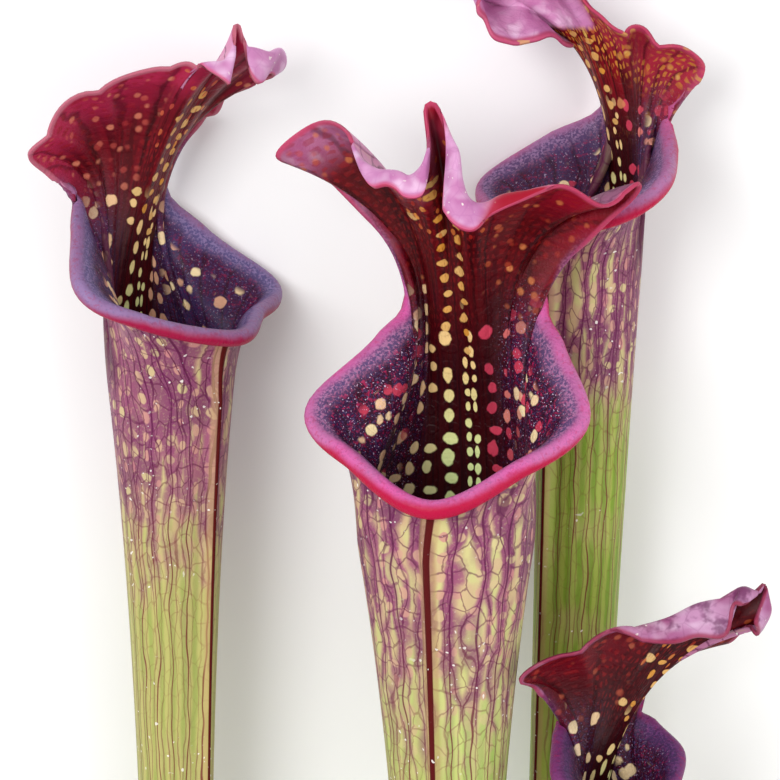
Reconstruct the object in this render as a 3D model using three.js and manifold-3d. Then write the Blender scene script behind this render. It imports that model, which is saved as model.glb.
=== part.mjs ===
// Sarracenia x farnhamii, one plant lifted from the ground and laid on its back.
//
// Four pitcher leaves rise side by side from one creeping rhizome with its roots. Each pitcher is a
// single leaf: a hollow tapering tube with a keel down its front, a rolled lip round the mouth, and
// behind the mouth a neck that opens into a ruffled hood with a small spike.
//
// Millimetres, +Z up. The plant lies on the plane z = 0 with its leaves along +Y and its mouths up.
// The origin is on the flat underside of the rhizome.

import * as THREE from "three";
import Module from "manifold-3d";

const wasm = await Module();
wasm.setup();
const { Manifold, Mesh } = wasm;

// Driving dimensions of every leaf

const WALL = 0.9; // thickness of the leaf
const BASE_Y = 6.3; // where the leaf bases end, in their sockets
const STRAIGHT_Y = 14; // up to here a leaf base runs straight along Y
const BASE_HALF = 3.4; // half width of a leaf base, at the middle of its wall
const SWELL = 60; // length over which a base widens into its tube
const BEND_SHARE = 0.62; // share of the length by which a leaf has reached its own line
const DEPTH_SHARE = 0.95; // front to back against side to side of a tube
const KEEL = 1.6; // height of the ridge down the front
const THROAT = 10; // below the spout, where the tube starts to open into the mouth
const SPIKE_WIDTH = 0.012; // half width of the hood's spike, as a share of a side
const SPIKE_RISE = 14; // the larger, the later the spike rises from the hood
const RUFFLE_REACH = 0.37; // the ruffle runs round the edge this far from the hood's midline
const WAIST_REACH = 0.46; // the neck is drawn in this far from the hood's midline
const WAIST_HEIGHT = 1.15; // the larger, the higher up the mouth the neck is narrowest

// Stations round one side of a leaf's edge, from the hood's midline at 0 to the spout at 1. Up to
// 0.34 is the hood, 0.41 the neck, 0.62 the side of the mouth and 0.8 its front.
const STATIONS = [0, 0.03, 0.065, 0.1, 0.145, 0.19, 0.235, 0.28, 0.34, 0.375, 0.41, 0.5, 0.62, 0.8, 1];
// How steeply the leaf leaves its tube towards each station.
const RISE = [62, 61.5, 61, 60, 59, 58, 56, 54, 46, 41, 36, 28, 22, 14, 10];
// How far the hood fans out from its heart at each of its stations.
const HOOD_REACH = [1.7, 1.65, 1.6, 1.6, 1.75, 1.9, 2, 2.1, 1.9];
// How much of a leaf's own fan each of them takes up.
const FAN_SHARE = [0, 0.15, 0.35, 0.55, 0.8, 1, 1, 1, 1];
// How the leaf arrives at its edge from the neck to the spout: sideways, forward and up.
const RIM_ARRIVAL = [
  [25, 1, 28],
  [12, 0, 30],
  [20, 2, 18],
  [20, 1, 4],
  [8, 6, 4],
  [0, 9, 3],
];
// Radius of the rolled edge, and how far it turns, in degrees.
const ROLL_RADIUS = [0.5, 0.5, 0.5, 0.5, 0.5, 0.5, 0.5, 0.5, 0.6, 0.7, 0.75, 0.8, 0.85, 0.9,
  0.95];
const ROLL_TURN = [30, 30, 30, 30, 30, 30, 30, 30, 50, 80, 110, 150, 180, 190, 190];
// Where the hood's edge folds over: how far it rises first, how flat its hem ends, both as shares
// of the fold, and the length from which it counts as a fold at all.
const FOLD_CREST = 1.4;
const FOLD_HEM = 0.9;
const FOLD_FROM = 1.2;

// Columns round one side of a leaf, closest at the spike and the keel. Each notch of the hood's
// edge adds its own.
const SIDE_COLUMNS = [0, 0.014, 0.03, 0.047, 0.065, 0.1, 0.145, 0.19, 0.235, 0.28, 0.31, 0.34,
  0.375, 0.41, 0.455, 0.5, 0.56, 0.62, 0.71, 0.8, 0.9, 0.965, 1];
// Rows up the tube as shares of its length, then up the mouth, then round the rolled edge.
const TUBE_ROWS = [0, 0.035, 0.1, 0.2, 0.34, 0.5, 0.66, 0.8, 0.92];
const MOUTH_ROWS = [0, 0.15, 0.3, 0.46, 0.62, 0.78, 0.9, 1];
const ROLL_ROWS = [0.36, 0.68, 1];
const HOLLOW_FROM = 4; // the first row of the tube that is hollow

// The four leaves.
// size: share of the largest mouth. spin: turn about its own length, in degrees. lip: share of
// ROLL_RADIUS. spout: how far up the leaf its spout is. foot: [x, z] of the base. top: [x, z] of the
// tube's middle at the spout. lean: drift of the tube's middle in x for each mm of height. tube:
// half width at the spout, half width far below, and the length over which it tapers. ruffle: waves
// round the edge, their height and where they start. heart: where the hood's fan starts. fan: how
// sharply it turns outward, left and right. waist: how far the neck is drawn in, left and right.
// spike: the point in the middle of the hood's edge. notches: [place, depth, width] of the cuts
// between the scallops of the hood's edge, the left side's places below 0. folds: [station, side,
// forward, up] from the edge to the hem where the edge folds over, the left side's stations below 0.
// right and left: the edge at each station as [side, forward, up] from the middle of the tube at the
// spout. The left side has the same first and last point as the right.
const LEAVES = {
  pitcher_centre: {
    size: 1, spin: -13, lip: 1, spout: 240, foot: [-3, 13], top: [0.93, 33], lean: -0.008,
    tube: [13.9, 3.4, 54], ruffle: [8, 0.8, 0.4], heart: [0, -9, 36], fan: [1.75, 1.4],
    waist: [0.2, 0.1], spike: [-1, 0, 5],
    notches: [[0.165, 0.7, 0.012], [0.262, 0.8, 0.01], [-0.205, 0.7, 0.013]],
    folds: [
      [-4, 0.9, 2.5, -2.5], [-3, -0.2, 2.5, -1.7], [-2, -0.3, 2, -2.6], [-1, -0.1, 1.5, -4.4],
      [1, -1.5, 2, -6], [2, -1.5, 3, -4.6], [3, -0.1, 4, -3.4], [4, -1.2, 3.5, -2.4],
    ],
    right: [
      [1.3, 10, 49.8], [4, 11, 48.4], [5.3, 12, 44.4], [7.1, 11, 42], [11.1, 9, 41.2], [18.1, 5, 44],
      [23.4, 2, 40.6], [28.1, -1, 42.4], [21.4, -5, 36.5], [16.2, -6, 31.3], [12.8, -7, 26],
      [15.3, -3, 19.5], [20.2, 3, 11], [11.5, 10, 3.9], [0.9, 14, -0.9],
    ],
    left: [
      [0.6, 10.5, 48.1], [2.5, 11, 44.7], [5.6, 10, 44.7], [9.4, 8, 46.3], [12.1, 5, 50.1],
      [18.9, 1, 50.3], [24.3, -1, 46.7], [16.6, -5, 41.6], [9.5, -6, 33.7], [6.9, -7, 26.6],
      [9.4, -3, 20], [18.2, 3, 11.3], [10.2, 10, 4.4],
    ],
  },
  pitcher_left: {
    size: 0.98, spin: 47, lip: 0.85, spout: 260, foot: [-24, 8], top: [-39.21, 13.6], lean: -0.006,
    tube: [10.1, 3.6, 50], ruffle: [9, 0.5, 1.4], heart: [0, -10, 28], fan: [1, 1.6],
    waist: [0.25, 0.3], spike: [0.3, -1, 3.6],
    notches: [[-0.1, 0.8, 0.013], [-0.152, 1.3, 0.014], [-0.207, 1.7, 0.014], [-0.262, 1.3, 0.014]],
    folds: [
      [-2, -0.7, 1.5, -2.2], [-1, -1.6, 1.5, -3.7], [1, -1.6, 2, -3.2], [2, -3.6, 2.5, -3.9],
      [3, -4.4, 2.5, -3.2], [4, -3.4, 2, -0.7],
    ],
    right: [
      [3.3, 12, 40.6], [4.6, 12, 40.7], [7.5, 12, 40.5], [10.9, 11.5, 39.8], [12.9, 10, 37.6],
      [11.1, 6, 35.1], [10.5, 2, 33.2], [11.3, -2, 30.9], [12.3, -6, 28.5], [9.3, -7, 25.1],
      [7.1, -8, 20.1], [10.5, -4, 13], [17.9, 3, 5.6], [8.6, 9, 2.3], [-0.2, 13, 0.1],
    ],
    left: [
      [-1, 12, 40.5], [1.2, 11.5, 39.6], [3, 10, 38.6], [4.5, 7.5, 39.6], [11.4, 2, 37.8],
      [18.6, -3, 32.9], [22.2, -6, 27.1], [16.6, -7.5, 23.1], [13.4, -8, 21], [10.8, -8, 19],
      [13.7, -4, 15.2], [20.3, 3, 8.4], [14.4, 9, 3.4],
    ],
  },
  pitcher_right: {
    size: 0.98, spin: -46, lip: 0.95, spout: 276.5, foot: [17, 8], top: [22.5, 13.05], lean: 0.035,
    tube: [7.7, 4.6, 70], ruffle: [9, 0.6, 2.4], heart: [0, -10, 22], fan: [2, 1],
    waist: [0.2, 0.2], spike: [0, 0, 4],
    notches: [[0.19, 1.2, 0.013], [0.255, 1, 0.013]],
    folds: [
      [-7, 5.1, 3.5, -1.9], [-6, 8.1, 4.5, -3.9], [-5, 7.8, 4.5, -5], [-4, 5.8, 4, -5.7],
      [-3, 3.2, 4, -4.9], [-2, 0.3, 4, -4.3], [-1, -0.4, 3.5, -3.4], [0, 0, 3, -2.8],
      [1, 0.7, 2.5, -2.2], [2, 1.3, 2, -1.9],
    ],
    right: [
      [-6.8, 10, 36.2], [-4.3, 9, 35.4], [-1.9, 7.5, 34], [0.3, 5.5, 32.1], [2.9, 3, 29.5],
      [5, 0.5, 27.2], [7.4, -2.5, 26.9], [11.5, -5, 24.8], [13.8, -7, 20.8], [9.9, -8, 17.3],
      [6.7, -8, 14.3], [10.5, -4, 9.7], [16.4, 3, 6.5], [13.3, 9, 2], [0.1, 13, -0.8],
    ],
    left: [
      [9.3, 10, 35.8], [11.5, 10, 35.1], [13.4, 10, 33.6], [14.8, 9, 31.8], [14.6, 6, 30.3],
      [12.2, 2.5, 29.2], [9.5, -2, 26.8], [7, -6, 22.9], [4.9, -7, 19.4], [5.8, -8, 14.9],
      [11.6, -3, 10.1], [18.6, 3, 4.2], [10.2, 9, 0.1],
    ],
  },
  pitcher_small: {
    size: 0.66, spin: 35, lip: 1, spout: 192.5, foot: [31, 12.5], top: [26.14, 33], lean: 0,
    tube: [6.8, 3, 50], ruffle: [9, 0.35, 3.4], heart: [1, -6, 19], fan: [1, 2],
    waist: [0.2, 0.2], spike: [0, 0, 2],
    notches: [[-0.253, 2.2, 0.014], [-0.205, 0.7, 0.013]],
    folds: [
      [-5, -0.1, 3, -2.1], [-4, -1.6, 3, -3.6], [-3, -1.6, 2.5, -4.7], [-2, -2.7, 2, -1.9],
      [-1, -3.4, 2, -1.2], [0, -4.4, 2, -1], [1, -3.7, 2, -1], [2, -1.8, 1.5, -0.8],
    ],
    right: [
      [17.6, 11, 30.2], [18, 11, 28.5], [17.3, 10.5, 26.5], [15.5, 9.5, 26.1], [14.6, 6.5, 23.8],
      [13, 3.5, 23.5], [12, 1, 23.1], [11.6, -2, 21.7], [10.4, -4, 19.8], [9.4, -5, 17],
      [7.2, -5, 13.3], [8.3, -3, 10.5], [9.3, 2, 7.4], [4.2, 6, 2.9], [-3.2, 9, 1.2],
    ],
    left: [
      [-15.3, 11, 31.1], [-13.3, 10.5, 31.9], [-11.4, 9, 30.7], [-8, 6, 28.7], [-3, 3, 27],
      [3.9, 1, 26.6], [15.7, -2, 21.2], [12.3, -3.5, 18.2], [9.8, -4, 15.8], [6.8, -5, 13.2],
      [8.2, -3, 10.5], [12.4, 2, 6.9], [9.9, 6, 3],
    ],
  },
};

// Driving dimensions of the rhizome and its roots

const SEAT_Y = 6; // bottom of the sockets
const SOCKET_RADIUS = 4.2;
const SHEATH_RADIUS = [6.4, 5.3]; // round each leaf base, at its foot and at its end
const SHEATH_Y = 13;
const RHIZOME_FROM = -40;
const RHIZOME_TO = 41;
const RHIZOME_RADIUS = 8.6;
const RHIZOME_HEIGHT = 8; // of its middle over the ground
const SCAR_STEP = 5; // between the ring scars of old leaves
const SCAR_DEPTH = 0.7;
const ROOTS = 9;
const ROOT_RADIUS = [1.3, 0.55];
const ROOT_LENGTH = [74, 52, 66, 80, 60, 72, 54, 68, 58];

// Small helpers for points

const add = (a, b, share = 1) => a.map((v, i) => v + b[i] * share);
const from = (a, b) => a.map((v, i) => v - b[i]);
const dot = (a, b) => a[0] * b[0] + a[1] * b[1] + a[2] * b[2];
const cross = (a, b) => [
  a[1] * b[2] - a[2] * b[1],
  a[2] * b[0] - a[0] * b[2],
  a[0] * b[1] - a[1] * b[0],
];
const scaled = (a, share) => a.map((v) => v * share);
const unit = (a) => scaled(a, 1 / Math.max(Math.hypot(...a), 1e-9));
const radians = (degrees) => (degrees * Math.PI) / 180;

function smooth(value) {
  const t = Math.min(Math.max(value, 0), 1);
  return t * t * (3 - 2 * t);
}

// Slope of a curve through uneven keys.
function slope(keys, rows, k) {
  const a = Math.max(k - 1, 0);
  const b = Math.min(k + 1, keys.length - 1);
  if (a === k || b === k) {
    return rows[b].map((v, c) => (v - rows[a][c]) / (keys[b] - keys[a]));
  }
  const before = keys[k] - keys[a];
  const after = keys[b] - keys[k];
  const weight = before * after * (before + after);
  return rows[k].map((v, c) => {
    return (before * before * (rows[b][c] - v) + after * after * (v - rows[a][c])) / weight;
  });
}

// Smooth curve through rows of numbers at uneven keys.
function curve(keys, rows, x) {
  let i = 0;
  while (i < keys.length - 2 && x > keys[i + 1]) {
    i += 1;
  }
  const step = keys[i + 1] - keys[i];
  const t = (x - keys[i]) / step;
  const leave = slope(keys, rows, i);
  const arrive = slope(keys, rows, i + 1);
  return blend(rows[i], scaled(leave, step), rows[i + 1], scaled(arrive, step), t);
}

// Point at share t between two ends with their directions.
function blend(start, leave, end, arrive, t) {
  const a = 2 * t ** 3 - 3 * t ** 2 + 1;
  const b = t ** 3 - 2 * t ** 2 + t;
  const c = 3 * t ** 2 - 2 * t ** 3;
  const d = t ** 3 - t ** 2;
  return start.map((v, i) => a * v + b * leave[i] + c * end[i] + d * arrive[i]);
}

// Everything that is known at the stations of a leaf, from the spout round its left, its hood and
// its right back to the spout, with one more station at each end so that the edge is smooth through
// the spout.
function edgeOf(leaf) {
  const last = STATIONS.length - 1;
  const keys = [];
  const rows = [];
  for (let i = -last; i <= last; i += 1) {
    const k = Math.abs(i);
    const side = Math.sign(i);
    let point = leaf.right[k];
    if (i < 0 && k < last) {
      const [l, f, h] = leaf.left[k - 1];
      point = [-l, f, h];
    }
    const [, ...fold] = leaf.folds.find(([station]) => station === i) ?? [i, 0, 0, 0];
    let arrive;
    if (k < HOOD_REACH.length) {
      const fan = 1 + (leaf.fan[i < 0 ? 0 : 1] - 1) * FAN_SHARE[k];
      arrive = scaled(from(point, leaf.heart), HOOD_REACH[k] * fan);
    } else {
      const [l, f, h] = RIM_ARRIVAL[k - HOOD_REACH.length];
      arrive = scaled([l * side, f, h], leaf.size);
    }
    keys.push(side * STATIONS[k]);
    const radius = ROLL_RADIUS[k] * leaf.size * leaf.lip;
    rows.push([...point, ...arrive, RISE[k] * leaf.size, radius, ROLL_TURN[k], ...fold]);
  }
  keys.unshift(keys[keys.length - 2] - 2);
  rows.unshift(rows[rows.length - 2]);
  keys.push(keys[2] + 2);
  rows.push(rows[2]);
  return { keys, rows };
}

// Half width of a leaf's tube at height h from its spout.
function halfWidth(leaf, h) {
  const [top, end, fade] = leaf.tube;
  const full = end + (top - end) * Math.exp(Math.min(h, 0) / fade);
  return BASE_HALF + (full - BASE_HALF) * smooth((leaf.spout + h - STRAIGHT_Y) / SWELL);
}

function ring(leaf, u, h) {
  const w = halfWidth(leaf, h);
  return [w * Math.sin(Math.PI * u), -w * DEPTH_SHARE * Math.cos(Math.PI * u), h];
}

// Outward directions of a closed grid of points, rows up and columns round.
function normalsOf(grid) {
  return grid.map((row, j) => row.map((point, i) => {
    const round = from(row[(i + 1) % row.length], row[(i + row.length - 1) % row.length]);
    const up = from(grid[Math.min(j + 1, grid.length - 1)][i], grid[Math.max(j - 1, 0)][i]);
    return unit(cross(round, up));
  }));
}

// Where the edge of a leaf runs at each column: its point with the notches, and how the leaf arrives
// there.
function edgeAt(leaf, at, u) {
  const [px, py, pz, ax, ay, az] = at;
  const spin = radians(leaf.spin);
  const front = [-Math.sin(spin), Math.cos(spin), 0];
  const spoke = from([px, py, pz], leaf.heart);
  const cut = unit(add(spoke, front, -dot(spoke, front)));
  const depth = leaf.notches.reduce((sum, [place, deep, width]) => {
    return sum + deep * Math.exp(-Math.abs(u - place) / width);
  }, 0);
  return [add([px, py, pz], cut, -depth), [ax, ay, az]];
}

// Middle of a leaf's wall, in [side, forward, up] from the middle of the tube at the spout.
function middleOf(leaf, columns) {
  const { keys, rows } = edgeOf(leaf);
  const throat = -THROAT * leaf.size;
  const bottom = BASE_Y - leaf.spout;
  const edge = columns.map((u) => curve(keys, rows, u));
  const grid = TUBE_ROWS.map((share) => {
    return columns.map((u) => ring(leaf, u, bottom + (throat - bottom) * share));
  });
  MOUTH_ROWS.forEach((t) => {
    grid.push(columns.map((u, i) => {
      const start = ring(leaf, u, throat);
      const leave = scaled(from(start, ring(leaf, u, throat - 1)), edge[i][6]);
      const [l, f, h] = blend(start, leave, ...edgeAt(leaf, edge[i], u), t);
      const drawn = leaf.waist[u < 0 ? 0 : 1] * smooth((WAIST_REACH - Math.abs(u)) / 0.1);
      const slim = [l * (1 - drawn * Math.sin(Math.PI * t ** WAIST_HEIGHT) ** 2), f, h];
      return add(slim, leaf.spike, Math.exp(-((u / SPIKE_WIDTH) ** 2)) * t ** SPIKE_RISE);
    }));
  });
  const [waves, height, phase] = leaf.ruffle;
  const flat = normalsOf(grid);
  MOUTH_ROWS.forEach((t, k) => {
    const j = TUBE_ROWS.length + k;
    grid[j] = grid[j].map((point, i) => {
      const u = columns[i];
      const hood = smooth((RUFFLE_REACH - Math.abs(u)) / 0.06);
      const wave = Math.sin(2 * Math.PI * waves * u + phase)
        + 0.45 * Math.sin(2 * Math.PI * waves * 1.7 * u + 2.1 * phase + 1);
      return add(point, flat[j][i], hood * wave * height * t ** 4);
    });
  });
  const last = grid.length - 1;
  const out = normalsOf(grid)[last];
  const base = grid[last];
  ROLL_ROWS.forEach((share) => {
    grid.push(base.map((point, i) => {
      return add(point, pastEdge(edge[i], out[i], columns[i], share));
    }));
  });
  return grid;
}

// How far past its edge a leaf has come at a share of its roll or its fold. The spike has no fold.
function pastEdge(at, out, u, share) {
  const [, , , ax, ay, az, , radius, turn, ...fold] = at;
  const arrive = [ax, ay, az];
  const flat = unit(add(arrive, out, -dot(arrive, out)));
  const angle = radians(turn) * share;
  const rolled = add(scaled(flat, radius * Math.sin(angle)), out, radius * (1 - Math.cos(angle)));
  const reach = Math.hypot(...fold);
  const leave = scaled(unit(arrive), reach * FOLD_CREST);
  const folded = blend([0, 0, 0], leave, fold, scaled(fold, FOLD_HEM), share);
  const beside = 1 - Math.exp(-((u / (1.5 * SPIKE_WIDTH)) ** 2));
  const weight = smooth(reach / FOLD_FROM) * beside;
  return add(scaled(rolled, 1 - weight), folded, weight);
}

// From a leaf's own [side, forward, up] to the plant's frame: the base runs straight, then bends
// over to its line.
function placed(leaf, [l, f, h]) {
  const y = leaf.spout + h;
  const share = smooth((y - STRAIGHT_Y) / (leaf.spout * BEND_SHARE - STRAIGHT_Y));
  const x = leaf.foot[0] + (leaf.top[0] + leaf.lean * h - leaf.foot[0]) * share;
  const z = leaf.foot[1] + (leaf.top[1] - leaf.foot[1]) * share;
  const spin = radians(leaf.spin);
  return [x + l * Math.cos(spin) + f * Math.sin(spin), y, z - l * Math.sin(spin) + f * Math.cos(spin)];
}

// Height of the keel at a point of a leaf: none in its socket, none at the lip.
function keelAt(leaf, row, h) {
  const above = smooth((leaf.spout + h - STRAIGHT_Y - 2) / 16);
  const mouth = row - TUBE_ROWS.length;
  if (mouth < 0) {
    return KEEL * above;
  }
  return mouth < MOUTH_ROWS.length ? KEEL * (1 - MOUTH_ROWS[mouth]) : 0;
}

// One leaf as a closed shell: outside, rolled edge, inside down to the hollow's end, and the cut base.
function leafGeometry(leaf) {
  const cuts = leaf.notches.map(([at]) => at);
  const sides = [...SIDE_COLUMNS.slice(1).map((u) => -u), ...SIDE_COLUMNS.slice(0, -1)];
  const columns = [...sides, ...cuts].sort((a, b) => a - b);
  const count = columns.length;
  const middle = middleOf(leaf, columns);
  const out = normalsOf(middle);
  const points = [];
  const faces = [];
  const put = (point) => points.push(placed(leaf, point)) - 1;
  const outside = middle.map((row, j) => row.map((point, i) => {
    const ridge = i === 0 ? keelAt(leaf, j, point[2]) : 0;
    return put(add(point, out[j][i], WALL / 2 + ridge));
  }));
  const inside = middle.slice(HOLLOW_FROM).map((row, j) => row.map((point, i) => {
    return put(add(point, out[j + HOLLOW_FROM][i], -WALL / 2));
  }));
  const skin = (lower, upper, inward) => {
    for (let i = 0; i < count; i += 1) {
      const k = (i + 1) % count;
      const halves = [[lower[i], lower[k], upper[k]], [lower[i], upper[k], upper[i]]];
      faces.push(...(inward ? halves.map((face) => face.reverse()) : halves));
    }
  };
  for (let j = 0; j < outside.length - 1; j += 1) {
    skin(outside[j], outside[j + 1], false);
  }
  skin(outside[outside.length - 1], inside[inside.length - 1], false);
  for (let j = 0; j < inside.length - 1; j += 1) {
    skin(inside[j], inside[j + 1], true);
  }
  const centreOf = (ids) => {
    const sum = ids.reduce((total, id) => add(total, points[id]), [0, 0, 0]);
    return points.push(scaled(sum, 1 / ids.length)) - 1;
  };
  const foot = centreOf(outside[0]);
  const well = centreOf(inside[0]);
  for (let i = 0; i < count; i += 1) {
    const k = (i + 1) % count;
    faces.push([outside[0][k], outside[0][i], foot]);
    faces.push([inside[0][i], inside[0][k], well]);
  }
  return geometryOf(points, faces);
}

// Indexed geometry with its faces turned outward.
function geometryOf(points, faces) {
  let volume = 0;
  faces.forEach(([a, b, c]) => {
    volume += dot(points[a], cross(points[b], points[c])) / 6;
  });
  const turned = volume < 0 ? faces.map(([a, b, c]) => [a, c, b]) : faces;
  const geometry = new THREE.BufferGeometry();
  geometry.setAttribute("position", new THREE.Float32BufferAttribute(points.flat(), 3));
  geometry.setIndex(turned.flat());
  geometry.computeVertexNormals();
  return geometry;
}

// A closed limb of round rings along a path of points.
function limb(path, radii, sides) {
  const points = [];
  const faces = [];
  path.forEach((point, j) => {
    const ahead = unit(from(path[Math.min(j + 1, path.length - 1)], path[Math.max(j - 1, 0)]));
    const across = unit(cross(ahead, [0, 0, 1]));
    const over = cross(across, ahead);
    for (let i = 0; i < sides; i += 1) {
      const turn = (2 * Math.PI * i) / sides;
      const aside = add(point, across, radii[j] * Math.cos(turn));
      points.push(add(aside, over, radii[j] * Math.sin(turn)));
    }
  });
  const end = path.length - 1;
  for (let j = 0; j < end; j += 1) {
    for (let i = 0; i < sides; i += 1) {
      const k = (i + 1) % sides;
      const [a, b, c, d] = [j * sides + i, j * sides + k, (j + 1) * sides + k, (j + 1) * sides + i];
      faces.push([a, b, c], [a, c, d]);
    }
  }
  points.push(path[0], path[end]);
  for (let i = 0; i < sides; i += 1) {
    const k = (i + 1) % sides;
    faces.push([k, i, points.length - 2]);
    faces.push([end * sides + i, end * sides + k, points.length - 1]);
  }
  const geometry = geometryOf(points, faces);
  const mesh = new Mesh({
    numProp: 3,
    vertProperties: geometry.attributes.position.array,
    triVerts: Uint32Array.from(geometry.index.array),
  });
  return new Manifold(mesh);
}

// The rhizome's body, ringed with the scars of old leaves.
function body() {
  const path = [];
  const radii = [];
  const count = Math.round((RHIZOME_TO - RHIZOME_FROM) / (SCAR_STEP / 2));
  for (let j = 0; j <= count; j += 1) {
    const share = j / count;
    const x = RHIZOME_FROM + (RHIZOME_TO - RHIZOME_FROM) * share;
    const rounded = Math.min(1, 0.55 + 3.2 * share, 0.5 + 3.6 * (1 - share));
    const scar = j % 2 === 1 ? SCAR_DEPTH : 0;
    path.push([x, -1.5 + 1.8 * Math.sin(x / 17), RHIZOME_HEIGHT * (0.72 + 0.28 * rounded)]);
    radii.push(RHIZOME_RADIUS * rounded - scar);
  }
  return limb(path, radii, 18);
}

// One root, from under the rhizome down to the ground and out over it.
function root(i) {
  const spread = i - (ROOTS - 1) / 2;
  const x = spread * 8.2 + 1.5 * Math.sin(i * 2.3);
  const heading = radians(-90 + spread * 9);
  const steps = 9;
  const path = [[x, -2, 5]];
  const radii = [ROOT_RADIUS[0] * 1.3];
  for (let j = 0; j <= steps; j += 1) {
    const share = j / steps;
    const out = ROOT_LENGTH[i] * share;
    const wave = 3.2 * Math.sin(out / 11 + i * 1.9) * smooth(share * 2);
    const radius = ROOT_RADIUS[0] + (ROOT_RADIUS[1] - ROOT_RADIUS[0]) * share;
    path.push([
      x + out * Math.cos(heading) - wave * Math.sin(heading),
      -9.5 + out * Math.sin(heading) + wave * Math.cos(heading),
      radius + 0.15 + 1.6 * (1 - smooth(share * 6)),
    ]);
    radii.push(radius);
  }
  return limb(path, radii, 6);
}

// The rhizome with sheaths and sockets for the leaves, stumps of old leaves, a growing tip and the
// roots.
function rhizomeGeometry() {
  const parts = [body()];
  const sockets = [];
  Object.values(LEAVES).forEach(({ foot: [x, z] }) => {
    parts.push(limb([[x, -2, z], [x, 5, z], [x, SHEATH_Y, z]], [SHEATH_RADIUS[0], SHEATH_RADIUS[0],
      SHEATH_RADIUS[1]], 16));
    const socket = Manifold.cylinder(30, SOCKET_RADIUS, SOCKET_RADIUS, 32).rotate([-90, 0, 0]);
    sockets.push(socket.translate([x, SEAT_Y, z]));
  });
  parts.push(limb([[-13.5, -2, 8], [-13.5, 8, 8.6], [-13, 14, 9.2]], [4.6, 4, 3.2], 10));
  parts.push(limb([[7, -2, 6.6], [7, 7, 6.8], [6.6, 12, 7.2]], [4.4, 3.8, 2.9], 10));
  parts.push(limb([[-34, -2, 8], [-35, 6, 8.6], [-36, 11, 9]], [4.4, 3.8, 3], 10));
  parts.push(limb([[38, -1, 8], [40, 6, 9], [41, 12, 10.5], [41.4, 17, 12]], [4.6, 4.2, 2.6, 0.6], 10));
  for (let i = 0; i < ROOTS; i += 1) {
    parts.push(root(i));
  }
  const whole = Manifold.union(parts).subtract(Manifold.union(sockets)).trimByPlane([0, 0, 1], 0);
  const mesh = whole.getMesh();
  const points = [];
  for (let i = 0; i < mesh.numVert; i += 1) {
    points.push([...mesh.vertProperties.slice(i * mesh.numProp, i * mesh.numProp + 3)]);
  }
  const faces = [];
  for (let i = 0; i < mesh.numTri; i += 1) {
    faces.push([...mesh.triVerts.slice(i * 3, i * 3 + 3)]);
  }
  return geometryOf(points, faces);
}

// The plant

const plant = new THREE.Group();
plant.name = "sarracenia_farnhamii";

const leafSkin = new THREE.MeshStandardMaterial({ color: 0xa03a5a, roughness: 0.5 });
leafSkin.name = "leaf";
const bark = new THREE.MeshStandardMaterial({ color: 0x5a3a26, roughness: 0.85 });
bark.name = "rhizome";

Object.entries(LEAVES).forEach(([name, leaf]) => {
  const mesh = new THREE.Mesh(leafGeometry(leaf), leafSkin);
  mesh.name = name;
  plant.add(mesh);
});

const rhizome = new THREE.Mesh(rhizomeGeometry(), bark);
rhizome.name = "rhizome";
plant.add(rhizome);

export default plant;
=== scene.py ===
"""Sarracenia x farnhamii, one plant lying on its back: its looks, on its solids.

Each pitcher is built again as a fine skin from its solid's dimensions, in millimetres, and stands for
it. The rhizome is a fine copy of its solid. Veins, windows and lips are procedural.
"""
import math

import bmesh
import bpy
import numpy as np
from mathutils import Matrix, Vector, noise


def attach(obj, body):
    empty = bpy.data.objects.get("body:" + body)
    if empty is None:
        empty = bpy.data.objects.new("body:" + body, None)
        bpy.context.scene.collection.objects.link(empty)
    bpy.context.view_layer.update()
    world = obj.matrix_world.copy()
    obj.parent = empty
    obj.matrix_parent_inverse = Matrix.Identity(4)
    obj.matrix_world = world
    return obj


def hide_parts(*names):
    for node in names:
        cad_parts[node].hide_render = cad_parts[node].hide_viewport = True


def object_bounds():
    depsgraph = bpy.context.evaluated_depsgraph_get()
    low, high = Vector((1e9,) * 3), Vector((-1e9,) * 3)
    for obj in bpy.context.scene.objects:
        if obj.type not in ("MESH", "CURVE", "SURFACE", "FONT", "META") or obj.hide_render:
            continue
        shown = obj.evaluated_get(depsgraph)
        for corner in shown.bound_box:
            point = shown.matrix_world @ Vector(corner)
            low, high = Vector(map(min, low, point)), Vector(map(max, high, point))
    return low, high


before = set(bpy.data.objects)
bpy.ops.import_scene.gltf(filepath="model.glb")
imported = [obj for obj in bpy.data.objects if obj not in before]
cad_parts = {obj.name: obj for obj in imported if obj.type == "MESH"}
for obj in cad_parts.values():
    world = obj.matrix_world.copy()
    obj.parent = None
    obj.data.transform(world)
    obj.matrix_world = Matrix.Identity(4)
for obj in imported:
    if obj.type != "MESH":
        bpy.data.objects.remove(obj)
CAD_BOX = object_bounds()
MM = 0.001

# Camera: the photograph's view, down on the plant and a little from its foot

PIXELS = 780
PIXELS_PER_MM = 7.0
VIEW_TARGET = (-7.0, 253.2, 33.0)
VIEW_TILT = 8.0
VIEW_DISTANCE = 700.0
SENSOR = 36.0

# Studio, in metres and watts: each light has its name, place, size and power

FLOOR_SIZE = 6
FLOOR_TONES = ((0.93, 0.93, 0.93), (0.95, 0.95, 0.95))
SKY_STRENGTH = 0.75
LIGHTS_AIM = (0, 0.15, 0.02)
LIGHTS = [("key", (-0.6, 0.5, 1.1), 0.7, 9), ("fill", (0.8, -0.1, 0.9), 0.9, 5)]

# Dimensions of every leaf, as in the solids

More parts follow.
